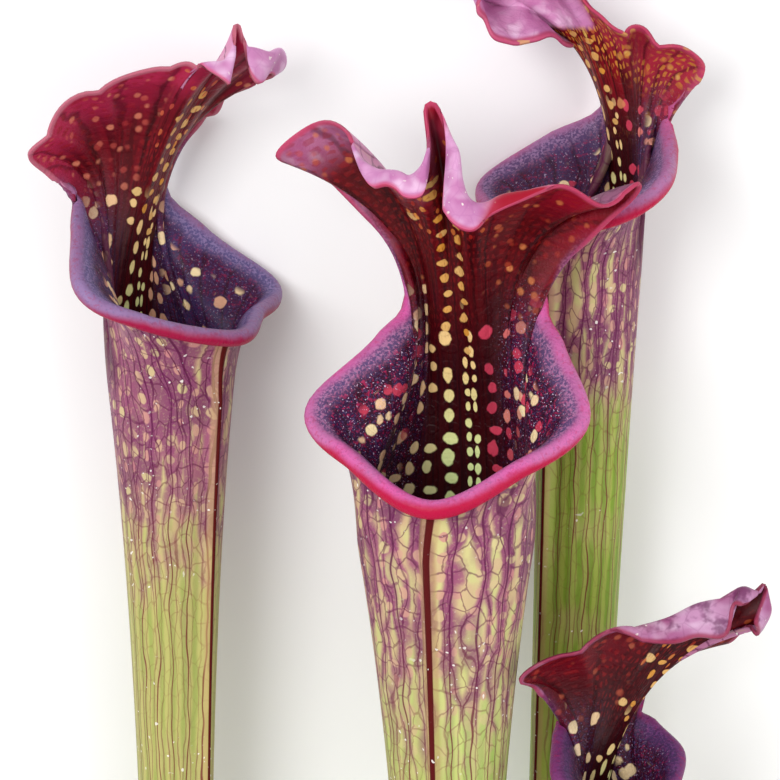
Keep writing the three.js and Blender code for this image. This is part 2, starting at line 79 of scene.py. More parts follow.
WALL = 0.9
BASE_Y = 6.3
STRAIGHT_Y = 14.0
BASE_HALF = 3.4
SWELL = 60.0
BEND_SHARE = 0.62
DEPTH_SHARE = 0.95
KEEL = 1.6
KEEL_WIDTH = 0.75
THROAT = 10.0
SPIKE_WIDTH = 0.012
SPIKE_RISE = 14
RUFFLE_REACH = 0.37
RUFFLE_FADE = 0.06
WAIST_REACH = 0.46
WAIST_FADE = 0.1
WAIST_HEIGHT = 1.15
HOLLOW_SHARE = 0.34

STATIONS = [0, 0.03, 0.065, 0.1, 0.145, 0.19, 0.235, 0.28, 0.34, 0.375, 0.41, 0.5, 0.62, 0.8, 1]
RISE = [62, 61.5, 61, 60, 59, 58, 56, 54, 46, 41, 36, 28, 22, 14, 10]
HOOD_REACH = [1.7, 1.65, 1.6, 1.6, 1.75, 1.9, 2, 2.1, 1.9]
FAN_SHARE = [0, 0.15, 0.35, 0.55, 0.8, 1, 1, 1, 1]
RIM_ARRIVAL = [(25, 1, 28), (12, 0, 30), (20, 2, 18), (20, 1, 4), (8, 6, 4), (0, 9, 3)]
ROLL_RADIUS = [0.5, 0.5, 0.5, 0.5, 0.5, 0.5, 0.5, 0.5, 0.6, 0.7, 0.75, 0.8, 0.85, 0.9, 0.95]
ROLL_TURN = [30, 30, 30, 30, 30, 30, 30, 30, 50, 80, 110, 150, 180, 190, 190]
FOLD_CREST = 1.4
FOLD_HEM = 0.9
FOLD_FROM = 1.2

LEAVES = {
    "pitcher_centre": {
        "size": 1, "spin": -13, "lip": 1, "spout": 240,
        "foot": (-3, 13), "top": (0.93, 33), "lean": -0.008, "tube": (13.9, 3.4, 54),
        "ruffle": (8, 0.8, 0.4), "heart": (0, -9, 36), "fan": (1.75, 1.4),
        "waist": (0.2, 0.1), "spike": (-1, 0, 5),
        "notches": [(0.165, 0.7, 0.012), (0.262, 0.8, 0.01), (-0.205, 0.7, 0.013)],
        "folds": [
            (-4, 0.9, 2.5, -2.5), (-3, -0.2, 2.5, -1.7), (-2, -0.3, 2, -2.6), (-1, -0.1, 1.5, -4.4),
            (1, -1.5, 2, -6), (2, -1.5, 3, -4.6), (3, -0.1, 4, -3.4), (4, -1.2, 3.5, -2.4)
        ],
        "right": [
            (1.3, 10, 49.8), (4, 11, 48.4), (5.3, 12, 44.4), (7.1, 11, 42), (11.1, 9, 41.2),
            (18.1, 5, 44), (23.4, 2, 40.6), (28.1, -1, 42.4), (21.4, -5, 36.5), (16.2, -6, 31.3),
            (12.8, -7, 26), (15.3, -3, 19.5), (20.2, 3, 11), (11.5, 10, 3.9), (0.9, 14, -0.9)
        ],
        "left": [
            (0.6, 10.5, 48.1), (2.5, 11, 44.7), (5.6, 10, 44.7), (9.4, 8, 46.3), (12.1, 5, 50.1),
            (18.9, 1, 50.3), (24.3, -1, 46.7), (16.6, -5, 41.6), (9.5, -6, 33.7), (6.9, -7, 26.6),
            (9.4, -3, 20), (18.2, 3, 11.3), (10.2, 10, 4.4)
        ],
    },
    "pitcher_left": {
        "size": 0.98, "spin": 47, "lip": 0.85, "spout": 260,
        "foot": (-24, 8), "top": (-39.21, 13.6), "lean": -0.006, "tube": (10.1, 3.6, 50),
        "ruffle": (9, 0.5, 1.4), "heart": (0, -10, 28), "fan": (1, 1.6),
        "waist": (0.25, 0.3), "spike": (0.3, -1, 3.6),
        "notches": [
            (-0.1, 0.8, 0.013), (-0.152, 1.3, 0.014), (-0.207, 1.7, 0.014), (-0.262, 1.3, 0.014)
        ],
        "folds": [
            (-2, -0.7, 1.5, -2.2), (-1, -1.6, 1.5, -3.7), (1, -1.6, 2, -3.2), (2, -3.6, 2.5, -3.9),
            (3, -4.4, 2.5, -3.2), (4, -3.4, 2, -0.7)
        ],
        "right": [
            (3.3, 12, 40.6), (4.6, 12, 40.7), (7.5, 12, 40.5), (10.9, 11.5, 39.8), (12.9, 10, 37.6),
            (11.1, 6, 35.1), (10.5, 2, 33.2), (11.3, -2, 30.9), (12.3, -6, 28.5), (9.3, -7, 25.1),
            (7.1, -8, 20.1), (10.5, -4, 13), (17.9, 3, 5.6), (8.6, 9, 2.3), (-0.2, 13, 0.1)
        ],
        "left": [
            (-1, 12, 40.5), (1.2, 11.5, 39.6), (3, 10, 38.6), (4.5, 7.5, 39.6), (11.4, 2, 37.8),
            (18.6, -3, 32.9), (22.2, -6, 27.1), (16.6, -7.5, 23.1), (13.4, -8, 21), (10.8, -8, 19),
            (13.7, -4, 15.2), (20.3, 3, 8.4), (14.4, 9, 3.4)
        ],
    },
    "pitcher_right": {
        "size": 0.98, "spin": -46, "lip": 0.95, "spout": 276.5,
        "foot": (17, 8), "top": (22.5, 13.05), "lean": 0.035, "tube": (7.7, 4.6, 70),
        "ruffle": (9, 0.6, 2.4), "heart": (0, -10, 22), "fan": (2, 1),
        "waist": (0.2, 0.2), "spike": (0, 0, 4),
        "notches": [(0.19, 1.2, 0.013), (0.255, 1, 0.013)],
        "folds": [
            (-7, 5.1, 3.5, -1.9), (-6, 8.1, 4.5, -3.9), (-5, 7.8, 4.5, -5), (-4, 5.8, 4, -5.7),
            (-3, 3.2, 4, -4.9), (-2, 0.3, 4, -4.3), (-1, -0.4, 3.5, -3.4), (0, 0, 3, -2.8),
            (1, 0.7, 2.5, -2.2), (2, 1.3, 2, -1.9)
        ],
        "right": [
            (-6.8, 10, 36.2), (-4.3, 9, 35.4), (-1.9, 7.5, 34), (0.3, 5.5, 32.1), (2.9, 3, 29.5),
            (5, 0.5, 27.2), (7.4, -2.5, 26.9), (11.5, -5, 24.8), (13.8, -7, 20.8), (9.9, -8, 17.3),
            (6.7, -8, 14.3), (10.5, -4, 9.7), (16.4, 3, 6.5), (13.3, 9, 2), (0.1, 13, -0.8)
        ],
        "left": [
            (9.3, 10, 35.8), (11.5, 10, 35.1), (13.4, 10, 33.6), (14.8, 9, 31.8), (14.6, 6, 30.3),
            (12.2, 2.5, 29.2), (9.5, -2, 26.8), (7, -6, 22.9), (4.9, -7, 19.4), (5.8, -8, 14.9),
            (11.6, -3, 10.1), (18.6, 3, 4.2), (10.2, 9, 0.1)
        ],
    },
    "pitcher_small": {
        "size": 0.66, "spin": 35, "lip": 1, "spout": 192.5,
        "foot": (31, 12.5), "top": (26.14, 33), "lean": 0, "tube": (6.8, 3, 50),
        "ruffle": (9, 0.35, 3.4), "heart": (1, -6, 19), "fan": (1, 2),
        "waist": (0.2, 0.2), "spike": (0, 0, 2),
        "notches": [(-0.253, 2.2, 0.014), (-0.205, 0.7, 0.013)],
        "folds": [
            (-5, -0.1, 3, -2.1), (-4, -1.6, 3, -3.6), (-3, -1.6, 2.5, -4.7), (-2, -2.7, 2, -1.9),
            (-1, -3.4, 2, -1.2), (0, -4.4, 2, -1), (1, -3.7, 2, -1), (2, -1.8, 1.5, -0.8)
        ],
        "right": [
            (17.6, 11, 30.2), (18, 11, 28.5), (17.3, 10.5, 26.5), (15.5, 9.5, 26.1), (14.6, 6.5, 23.8),
            (13, 3.5, 23.5), (12, 1, 23.1), (11.6, -2, 21.7), (10.4, -4, 19.8), (9.4, -5, 17),
            (7.2, -5, 13.3), (8.3, -3, 10.5), (9.3, 2, 7.4), (4.2, 6, 2.9), (-3.2, 9, 1.2)
        ],
        "left": [
            (-15.3, 11, 31.1), (-13.3, 10.5, 31.9), (-11.4, 9, 30.7), (-8, 6, 28.7), (-3, 3, 27),
            (3.9, 1, 26.6), (15.7, -2, 21.2), (12.3, -3.5, 18.2), (9.8, -4, 15.8), (6.8, -5, 13.2),
            (8.2, -3, 10.5), (12.4, 2, 6.9), (9.9, 6, 3)
        ],
    },
}


# Points and curves

def smooth(value):
    """Eases from 0 to 1."""
    t = np.clip(value, 0, 1)
    return t * t * (3 - 2 * t)


def blend(start, leave, end, arrive, t):
    """Point at share t between two ends with their directions."""
    return ((2 * t**3 - 3 * t**2 + 1) * start + (t**3 - 2 * t**2 + t) * leave
            + (3 * t**2 - 2 * t**3) * end + (t**3 - t**2) * arrive)


def curve(keys, rows, x):
    """Smooth curve through rows of numbers at uneven keys."""
    slopes = np.gradient(rows, keys, axis=0)
    i = np.clip(np.searchsorted(keys, x) - 1, 0, len(keys) - 2)
    step = (keys[i + 1] - keys[i])[:, None]
    t = (x - keys[i])[:, None] / step
    return blend(rows[i], step * slopes[i], rows[i + 1], step * slopes[i + 1], t)


def length_of(vectors):
    """Lengths, as a last column."""
    return np.linalg.norm(vectors, axis=-1, keepdims=True)


def edge_of(leaf):
    """What is known at a leaf's stations: edge, arrival, rise, the roll's radius and turn, fold."""
    last = len(STATIONS) - 1
    folds = {station: fold for station, *fold in leaf["folds"]}
    keys = []
    rows = []
    for i in range(-last, last + 1):
        k = abs(i)
        side = int(np.sign(i))
        point = np.array(leaf["right"][k], float)
        if i < 0 and k < last:
            point = np.array(leaf["left"][k - 1], float) * (-1, 1, 1)
        if k < len(HOOD_REACH):
            fan = 1 + (leaf["fan"][0 if i < 0 else 1] - 1) * FAN_SHARE[k]
            arrive = (point - np.array(leaf["heart"])) * HOOD_REACH[k] * fan
        else:
            arrive = np.array(RIM_ARRIVAL[k - len(HOOD_REACH)], float) * (side, 1, 1) * leaf["size"]
        rise = RISE[k] * leaf["size"]
        radius = ROLL_RADIUS[k] * leaf["size"] * leaf["lip"]
        fold = folds.get(i, (0, 0, 0))
        keys.append(side * STATIONS[k])
        rows.append([*point, *arrive, rise, radius, ROLL_TURN[k], *fold])
    keys = [keys[-2] - 2] + keys + [keys[1] + 2]
    rows = [rows[-2]] + rows + [rows[1]]
    return np.array(keys), np.array(rows)


def ring(leaf, u, h):
    """The tube's section at height h from the spout."""
    top, end, fade = leaf["tube"]
    full = end + (top - end) * math.exp(min(h, 0) / fade)
    half = BASE_HALF + (full - BASE_HALF) * smooth((leaf["spout"] + h - STRAIGHT_Y) / SWELL)
    side = half * np.sin(np.pi * u)
    front = -half * DEPTH_SHARE * np.cos(np.pi * u)
    return np.stack([side, front, h + 0 * u], -1)


def normals_of(grid):
    """Outward directions. The first and last column are the same line."""
    body = grid[:, :-1]
    across = np.roll(body, -1, 1) - np.roll(body, 1, 1)
    up = np.gradient(body, axis=0)
    out = np.cross(across, up)
    out /= np.maximum(length_of(out), 1e-9)
    return np.concatenate([out, out[:, :1]], 1)


def notched(leaf, us, point):
    """The edge, drawn in at its notches."""
    spin = math.radians(leaf["spin"])
    front = np.array([-math.sin(spin), math.cos(spin), 0])
    cut = point - np.array(leaf["heart"], float)
    cut = cut - (cut @ front)[:, None] * front
    cut /= length_of(cut)
    for at, depth, width in leaf["notches"]:
        point = point - cut * depth * np.exp(-np.abs(us - at) / width)[:, None]
    return point


def mouth_of(leaf, us, edge, mouth_rows):
    """Rows from the throat to the edge: narrow at the neck, drawn out at the spike."""
    throat = -THROAT * leaf["size"]
    start = ring(leaf, us, throat)
    leave = (start - ring(leaf, us, throat - 1)) * edge[:, 6:7]
    point = notched(leaf, us, edge[:, :3])
    arrive = edge[:, 3:6]
    spike = np.exp(-(us / SPIKE_WIDTH) ** 2)[:, None] * np.array(leaf["spike"], float)
    reach = smooth((WAIST_REACH - np.abs(us)) / WAIST_FADE)
    drawn = (np.where(us < 0, *leaf["waist"]) * reach)[:, None]
    sideways = np.array([1, 0, 0])
    rows = []
    for t in mouth_rows:
        slim = 1 - drawn * math.sin(math.pi * t**WAIST_HEIGHT) ** 2 * sideways
        rows.append(blend(start, leave, point, arrive, t) * slim + spike * t**SPIKE_RISE)
    return rows


def ruffle(leaf, us, grid, first, mouth_rows):
    """Waves the hood, more so towards its edge."""
    waves, height, phase = leaf["ruffle"]
    hood = smooth((RUFFLE_REACH - np.abs(us)) / RUFFLE_FADE)[:, None]
    broad = np.sin(2 * np.pi * waves * us + phase)
    narrow = np.sin(2 * np.pi * waves * 1.7 * us + 2.1 * phase + 1)
    wave = (broad + 0.45 * narrow)[:, None]
    flat = normals_of(grid)
    for j, t in enumerate(mouth_rows, first):
        grid[j] += flat[j] * hood * wave * height * t**4


def past_edge(us, grid, edge, roll_rows):
    """Rows past the edge, which rolls over, or folds out where the leaf has a flap."""
    arrive, radius, turn, fold = edge[:, 3:6], edge[:, 7:8], edge[:, 8:9], edge[:, 9:12]
    ahead = arrive / length_of(arrive)
    out = normals_of(grid)[-1]
    flat = arrive - (arrive * out).sum(-1, keepdims=True) * out
    flat /= length_of(flat)
    reach = length_of(fold)
    beside = 1 - np.exp(-(us / (1.5 * SPIKE_WIDTH)) ** 2)
    weight = smooth(reach / FOLD_FROM) * beside[:, None]
    rows = []
    for share in roll_rows:
        angle = np.radians(turn) * share
        rolled = radius * (np.sin(angle) * flat + (1 - np.cos(angle)) * out)
        folded = blend(0, ahead * reach * FOLD_CREST, fold, fold * FOLD_HEM, share)
        rows.append(grid[-1] + rolled * (1 - weight) + folded * weight)
    return np.array(rows)


def middle_of(leaf, us, heights, mouth_rows, roll_rows):
    """Middle of a leaf's wall, rows by columns, as [side, forward, up] from the spout's height."""
    keys, rows = edge_of(leaf)
    edge = curve(keys, rows, us)
    grid = [ring(leaf, us, h) for h in heights] + mouth_of(leaf, us, edge, mouth_rows)
    grid = np.array(grid)
    ruffle(leaf, us, grid, len(heights), mouth_rows)
    return np.concatenate([grid, past_edge(us, grid, edge, roll_rows)])


def placed(leaf, points):
    """From a leaf's own [side, forward, up] to the plant's frame."""
    l, f, h = points[..., 0], points[..., 1], points[..., 2]
    (foot_x, foot_z), (top_x, top_z) = leaf["foot"], leaf["top"]
    y = leaf["spout"] + h
    share = smooth((y - STRAIGHT_Y) / (leaf["spout"] * BEND_SHARE - STRAIGHT_Y))
    x = foot_x + (top_x + leaf["lean"] * h - foot_x) * share
    z = foot_z + (top_z - foot_z) * share
    spin = math.radians(leaf["spin"])
    across = x + l * math.cos(spin) + f * math.sin(spin)
    above = z - l * math.sin(spin) + f * math.cos(spin)
    return np.stack([across, y, above], -1)


# The pitchers' skins

HOOD_COLUMNS = 84
RIM_COLUMNS = 52
TUBE_ROWS = 44
MOUTH_ROWS = 84
ROLL_ROWS = 18
HOOD_END = 0.4
HOOD_THIN = 0.4
HOOD_PACKING = 1.15
RIM_PACKING = 1.7
KEEL_FROM = STRAIGHT_Y + 2
KEEL_FADE = 16


def add_object(name, data):
    made = bpy.data.objects.new(name, data)
    bpy.context.scene.collection.objects.link(made)
    return made


def columns_round():
    """From the spout round the left, the hood and the right, closest in the hood and at the keel."""
    hood = HOOD_END * np.linspace(0, 1, HOOD_COLUMNS + 1) ** HOOD_PACKING
    t = np.linspace(0, 1, RIM_COLUMNS + 1)[1:]
    rim = HOOD_END + (1 - HOOD_END) * (1 - (1 - t) ** RIM_PACKING)
    side = np.concatenate([hood, rim])
    side[-1] = 1
    return np.concatenate([-side[:0:-1], side])


def walls_of(leaf, us, middle):
    """The outside with its keel and the inside, in the plant's frame. The wall thins into the hood."""
    rows = np.arange(len(middle))
    up = np.clip((rows - TUBE_ROWS) / (MOUTH_ROWS - 1), 0, 1)
    hood = smooth((HOOD_END - np.abs(us)) / 0.1)
    half = (WALL / 2 * (1 - HOOD_THIN * np.outer(smooth(up), hood)))[..., None]
    y = leaf["spout"] + middle[..., 2]
    radius = np.maximum(np.hypot(middle[..., 0], middle[..., 1]), 3)
    around = (1 - np.abs(us)) * np.pi * radius
    ridge = KEEL * np.exp(-(around / KEEL_WIDTH) ** 2) * smooth((y - KEEL_FROM) / KEEL_FADE)
    ridge *= np.where(rows[:, None] < TUBE_ROWS, 1, (1 - up[:, None]))
    out = normals_of(middle)
    outside = placed(leaf, middle + out * (half + ridge[..., None]))
    inside = placed(leaf, middle - out * half)
    return outside, inside


def quads(low, high, count):
    """Four-sided faces between two rings of count corners, given the first corner of each."""
    i = np.arange(count)
    k = (i + 1) % count
    return np.stack([low + i, low + k, high + k, high + i], -1)


def sheet(start, rows, count):
    """Faces of a closed tube of rows."""
    rings = start + count * np.arange(rows)
    return np.concatenate([quads(low, high, count) for low, high in zip(rings, rings[1:])])


def closed_skin(name, outside, inside):
    """Two sheets joined along the hem, each closed at its low end. The inside's faces come second."""
    tall, deep = len(outside), len(inside)
    count = outside.shape[1] - 1
    verts = np.concatenate([outside[:, :-1].reshape(-1, 3), inside[:, :-1].reshape(-1, 3)])
    caps = [outside[0, :-1].mean(0), inside[0, :-1].mean(0)]
    inner_start = tall * count
    foot = len(verts)
    well = foot + 1
    verts = np.clip(np.concatenate([verts, caps]) * MM, CAD_BOX[0], CAD_BOX[1])
    outer = sheet(0, tall, count).tolist()
    inner = sheet(inner_start, deep, count)[:, ::-1].tolist()
    strip = quads(inner_start - count, foot - count, count).tolist()
    foot_faces = [(b, a, foot) for a, b, *_ in quads(0, 0, count).tolist()]
    well_faces = [(a, b, well) for a, b, *_ in quads(inner_start, 0, count).tolist()]
    mesh = bpy.data.meshes.new(name)
    mesh.from_pydata(verts.tolist(), [], outer + inner + strip + foot_faces + well_faces)
    groups = [0] * len(outer) + [1] * (len(inner) + len(strip)) + [0] * count + [1] * count
    mesh.polygons.foreach_set("material_index", groups)
    return mesh


def mark_places(mesh, us, middle, first):
    """At every corner: share round, mm up from the throat, mm past the edge, mm left to the hem."""
    tall = len(middle)
    count = len(us) - 1
    steps = np.linalg.norm(np.diff(middle, axis=0), axis=-1)
    along = np.concatenate([np.zeros((1, len(us))), np.cumsum(steps, 0)])
    rim = along - along[TUBE_ROWS + MOUTH_ROWS - 1]
    hem = along[-1] - along
    along = along - along[TUBE_ROWS]
    outer_rows = np.repeat(np.arange(tall), count)
    inner_rows = np.repeat(np.arange(first, tall), count)
    vert_row = np.concatenate([outer_rows, inner_rows, [0, first]])
    vert_col = np.concatenate([np.tile(np.arange(count), 2 * tall - first), [0, 0]])
    corner_vert = np.empty(len(mesh.loops), np.int32)
    mesh.loops.foreach_get("vertex_index", corner_vert)
    sides = np.empty(len(mesh.polygons), np.int32)
    mesh.polygons.foreach_get("loop_total", sides)
    row = vert_row[corner_vert]
    col = vert_col[corner_vert]
    poly_of = np.repeat(np.arange(len(mesh.polygons)), sides)
    highest = np.zeros(len(mesh.polygons), int)
    np.maximum.at(highest, poly_of, col)
    wraps = (highest[poly_of] == count - 1) & (col == 0)
    col = np.where(wraps, count, col)
    place = np.stack([us[col], along[row, col], rim[row, col]], -1)
    attribute = mesh.attributes.new("leaf_place", "FLOAT_VECTOR", "CORNER")
    attribute.data.foreach_set("vector", place.astype(np.float32).ravel())
    attribute = mesh.attributes.new("leaf_hem", "FLOAT", "CORNER")
    attribute.data.foreach_set("value", hem[row, col].astype(np.float32))


def face_outward(mesh):
    """Turns the faces if the closed mesh is inside out."""
    box = bmesh.new()
    box.from_mesh(mesh)
    if box.calc_volume(signed=True) < 0:
        bmesh.ops.reverse_faces(box, faces=box.faces[:])
    box.to_mesh(mesh)
    box.free()


def build_leaf(name, leaf):
    """One pitcher: outside with its keel, rolled edge, and inside down to the end of its hollow."""
    us = columns_round()
    throat = -THROAT * leaf["size"]
    bottom = BASE_Y - leaf["spout"]
    heights = bottom + (throat - bottom) * np.linspace(0, 1, TUBE_ROWS + 1)[:-1]
    mouth = np.linspace(0, 1, MOUTH_ROWS)
    roll = np.linspace(0, 1, ROLL_ROWS + 1)[1:]
    middle = middle_of(leaf, us, heights, mouth, roll)
    outside, inside = walls_of(leaf, us, middle)
    first = int(round(TUBE_ROWS * HOLLOW_SHARE))
    mesh = closed_skin(name, outside, inside[first:])
    mark_places(mesh, us, middle, first)
    mesh.update()
    face_outward(mesh)
    mesh.shade_smooth()
    return add_object(name, mesh)


# Materials: a small language for values that run through nodes

def operation(name):
    """Arithmetic with a wire adds a node."""
    return lambda *values: number(name, *values)


class Wire:
    """A value in a material."""

    def __init__(self, socket):
        self.socket = socket
        self.tree = socket.id_data

    __add__ = __radd__ = operation("ADD")
    __sub__ = operation("SUBTRACT")
    __mul__ = __rmul__ = operation("MULTIPLY")
    __truediv__ = operation("DIVIDE")
    abs = operation("ABSOLUTE")
    floor = operation("FLOOR")
    fract = operation("FRACT")
    less = operation("LESS_THAN")
    least = operation("MINIMUM")
    root = operation("SQRT")

    def __rsub__(self, other):
        return number("SUBTRACT", other, self)

    def rises(self, low, high):
        """0 up to low, 1 from high. The other way round it falls."""
        limits = {"Value": self, "From Min": low, "From Max": high}
        return Wire(node("MapRange", limits, interpolation_type="SMOOTHSTEP").outputs["Result"])

    def from_line(self):
        """Counted in stripes: how far the stripe's middle is."""
        return (self.fract() - 0.5).abs()


def plug(value, socket):
    if isinstance(value, Wire):
        value.tree.links.new(value.socket, socket)
    elif socket.type == "RGBA":
        socket.default_value = (*value, 1)
    else:
        socket.default_value = value


def node(kind, inputs, tree=None, **settings):
    """Adds a node with its settings and what goes into its inputs."""
    tree = tree or next(value.tree for value in inputs.values() if isinstance(value, Wire))
    made = tree.nodes.new("ShaderNode" + kind)
    for name, value in settings.items():
        setattr(made, name, value)
    for name, value in inputs.items():
        plug(value, made.inputs[name])
    return made


def number(name, *values):
    return Wire(node("Math", dict(enumerate(values)), operation=name).outputs[0])


def vector(*values):
    return Wire(node("CombineXYZ", dict(enumerate(values))).outputs[0])


def wires(made):
    return [Wire(output) for output in made.outputs]


def split(value):
    return wires(node("SeparateXYZ", {0: value}))


def mix(share, first, second):
    """Colour from first to second."""
    made = node("Mix", {}, share.tree, data_type="RGBA", clamp_factor=True)
    for value, socket in zip((share, first, second), (0, 6, 7)):
        plug(value, made.inputs[socket])
    return Wire(made.outputs[2])


def cloud(place, scale, detail=2.0, roughness=0.5):
    """Soft noise round 0.5."""
    inputs = {"Vector": place, "Scale": scale, "Detail": detail, "Roughness": roughness}
    return Wire(node("TexNoise", inputs).outputs["Fac"])


def cells(place, feature="DISTANCE_TO_EDGE", spread=0.8, flat=True):
    """Irregular cells: first the distance to their edge, or to their middle and their own colour."""
    inputs = {"Vector": place, "Scale": 1.0, "Randomness": spread}
    return wires(node("TexVoronoi", inputs, voronoi_dimensions="2D" if flat else "3D", feature=feature))


def chance(x, y):
    """Three random numbers for a cell."""
    made = node("TexWhiteNoise", {"Vector": vector(x, y)}, noise_dimensions="2D")
    return split(Wire(made.outputs["Color"]))


def bump(height, distance, strength, under=None):
    inputs = {"Height": height, "Distance": distance, "Strength": strength}
    if under is not None:
        inputs["Normal"] = under
    return Wire(node("Bump", inputs).outputs[0])


def new_material(name, roughness):
    material = bpy.data.materials.new(name)
    material.use_nodes = True
    shader = material.node_tree.nodes["Principled BSDF"]
    shader.inputs["Roughness"].default_value = roughness
    return material, shader


def spot(shader):
    """Place in space, in metres."""
    return Wire(node("TexCoord", {}, shader.id_data).outputs["Object"])


def scaled(place, scale):
    """Place in space, scaled."""
    return Wire(node("VectorMath", {0: place, "Scale": scale}, operation="SCALE").outputs[0])


def moved(place):
    """Place in space, moved so that noise read there is another one."""
    return Wire(node("VectorMath", {0: place, 1: (3.1, 1.7, 0.4)}, operation="ADD").outputs[0])


# What covers a leaf. Each kind of window has its rows to a unit round the leaf, its length in mm, its
# size and its seed. Spots have their spacing in mm, their size and how sharp they are.

THROAT_WINDOWS = (11, 3.0, 0.42, 3)
LEFT_PANES = (14, 3.1, 0.48, 5)
RIGHT_PANES = (30, 2.3, 0.48, 7)
NECK_WINDOWS = (13, 2.6, 0.37, 11)
HOOD_WINDOWS = (36, 2.3, 0.34, 19)
TUBE_WINDOWS = (14, 2.9, 0.40, 13)
FLARE_SPOTS = (2.5, 0.42, 0.78)
FRECKLES = (1.75, 0.42, 0.45)
VEINS_ROUND = 9


class Surface:
    """A leaf's material with what it knows about each spot: u is the share round the leaf from the
    hood's middle, v the mm up from the throat, rim the mm past the edge, hem the mm left to the hem."""

    def __init__(self, name, look, roughness, wobble, ragged):
        self.material, self.shader = new_material(name, roughness)
        self.look = look
        tree = self.shader.id_data
        place = node("Attribute", {}, tree, attribute_name="leaf_place")
        self.u, self.v, self.rim = split(Wire(place.outputs["Vector"]))
        self.hem = Wire(node("Attribute", {}, tree, attribute_name="leaf_hem").outputs["Fac"])
        self.place = spot(self.shader)
        self.elsewhere = moved(self.place)
        self.around = self.u.abs()
        self.wobble = self.cloud(*wobble) - 0.5
        self.ragged = self.cloud(*ragged) - 0.5
        self.ground = None

    def cloud(self, *settings):
        return cloud(self.place, *settings)

    def mix(self, share, *colours):
        """Mixes colours, which may be names in the look."""
        return mix(share, *(self.look[c] if isinstance(c, str) else c for c in colours))

    def paint(self, share, colour):
        """Lays a colour over the ground."""
        self.ground = self.mix(share, self.ground, colour)

    def windows(self, u, wobble, rows, length, size, seed):
        """Rounded windows in rows between the veins: how much of a window, where its middle is and two
        random numbers of its own."""
        across = u * rows + wobble * 0.5 + seed
        column = across.floor()
        shift = chance(column, seed)[0] * 5
        along = self.v / length + shift + wobble * 0.35
        step = along.floor()
        present, wide, tall = chance(column, step + seed)
        x = (across - column - 0.5 + (tall - 0.5) * 0.22) / (wide * 0.4 + 0.6)
        y = (along - step - 0.5 + (wide - 0.5) * 0.22) / (tall * 0.45 + 0.55)
        reach = (x * x + y * y).root() + self.ragged * 0.22
        middle_u = (column + (0.5 - seed)) / rows
        middle_v = (step + 0.5 - shift) * length
        return reach.rises(size, size * 0.74), middle_u, middle_v, present, wide

    def spots(self, apart, size, sharp):
        """Round windows of many sizes: how much of a window, and two random numbers of its own."""
        distance, own = cells(scaled(self.elsewhere, 1000 / apart), "F1", 0.95, False)[:2]
        present, tone = split(own)[:2]
        return (distance + self.ragged * 0.2).rises(size, size * sharp), present, tone

    def lilac_skin(self):
        """The mottled lilac of a folded edge."""
        pale = self.cloud(330, 1).rises(0.5, 0.75)
        dark = self.cloud(290, 3, 0.6).rises(0.46, 0.6)
        line = cells(scaled(self.place, 420), spread=1.0, flat=False)[0].rises(0.07, 0.0)
        skin = self.mix(self.cloud(170, 2).rises(0.36, 0.62), "fold_deep", "fold")
        skin = self.mix(pale * 0.6, skin, "fold_pale")
        skin = self.mix(dark * self.look["marble"], skin, "fold_vein")
        return self.mix(line * 0.18, skin, "fold_vein")


def face_surface(name, look):
    """The inside of the hood, the mouth and the lip."""
    face = Surface(name, look, 0.34, (240, 2), (1100, 1))
    face.tall = look["tall"]
    face.level = face.v * face.tall
    face.hood = face.around.rises(0.42, 0.33)
    face.lip = 1 - face.hood
    face.flare = face.around.rises(0.12, 0.34)
    face.high = face.level.rises(24, 42) * face.around.rises(0.47, 0.39)
    face.dusky = face.flare * (1 - face.high)
    face.grain = face.cloud(2600, 2, 0.6)
    face.coarse = cloud(face.elsewhere, 1350, 2, 0.6)
    face.patch = face.cloud(130, 2)
    face.broad = face.cloud(60, 1)
    return face


def paint_ground(face):
    """Near-black throat, dusky flares, oxblood hood with darker streaks and a crimson margin."""
    streak = cloud(vector(face.u * 60, face.v * 0.05), 1.0, 2)
    face.ground = face.mix(streak.rises(0.45, 0.6) * 0.7, "throat", "glow")
    face.paint(face.flare, "flare")
    face.paint(face.flare * face.patch.rises(0.42, 0.62) * 0.7, "flare_blue")
    face.paint(face.high, "hood")
    face.paint(streak.rises(0.42, 0.62) * face.hood * 0.75, "patch")
    margin = face.rim.rises(-12, -1) * face.hood
    face.paint(margin * (face.patch.rises(0.35, 0.6) * 0.4 + 0.5), "margin")
    blush = face.rim.rises(-9, -2) * face.hood * face.look["blush"]
    blush = blush * face.broad.rises(0.4, 0.6) * face.u.rises(0.05, -0.05)
    face.paint(blush, face.lilac_skin())


def paint_hairs(face):
    """The grain of fine hairs on the flares: crimson tufts and blue shade."""
    grainy = face.look["grainy"]
    tufts = face.coarse.rises(0.56, 0.66) * face.dusky
    face.paint(tufts * (face.rim.rises(-16, -2) * 0.5 + 0.3) * grainy, "grains")
    grains = face.grain.rises(0.54, 0.68) * face.flare * (1 - face.high * 0.8)
    face.paint(grains * grainy * 0.5, "grains")
    face.paint(face.grain.rises(0.48, 0.36) * face.dusky * 0.7, "chill")


def paint_veins(face):
    """Fine veins between the rows of windows."""
    lines = (face.u * 21 + face.wobble * 0.6).from_line().rises(0.38, 0.48)
    face.paint(lines * 0.5, "vein")
    return lines


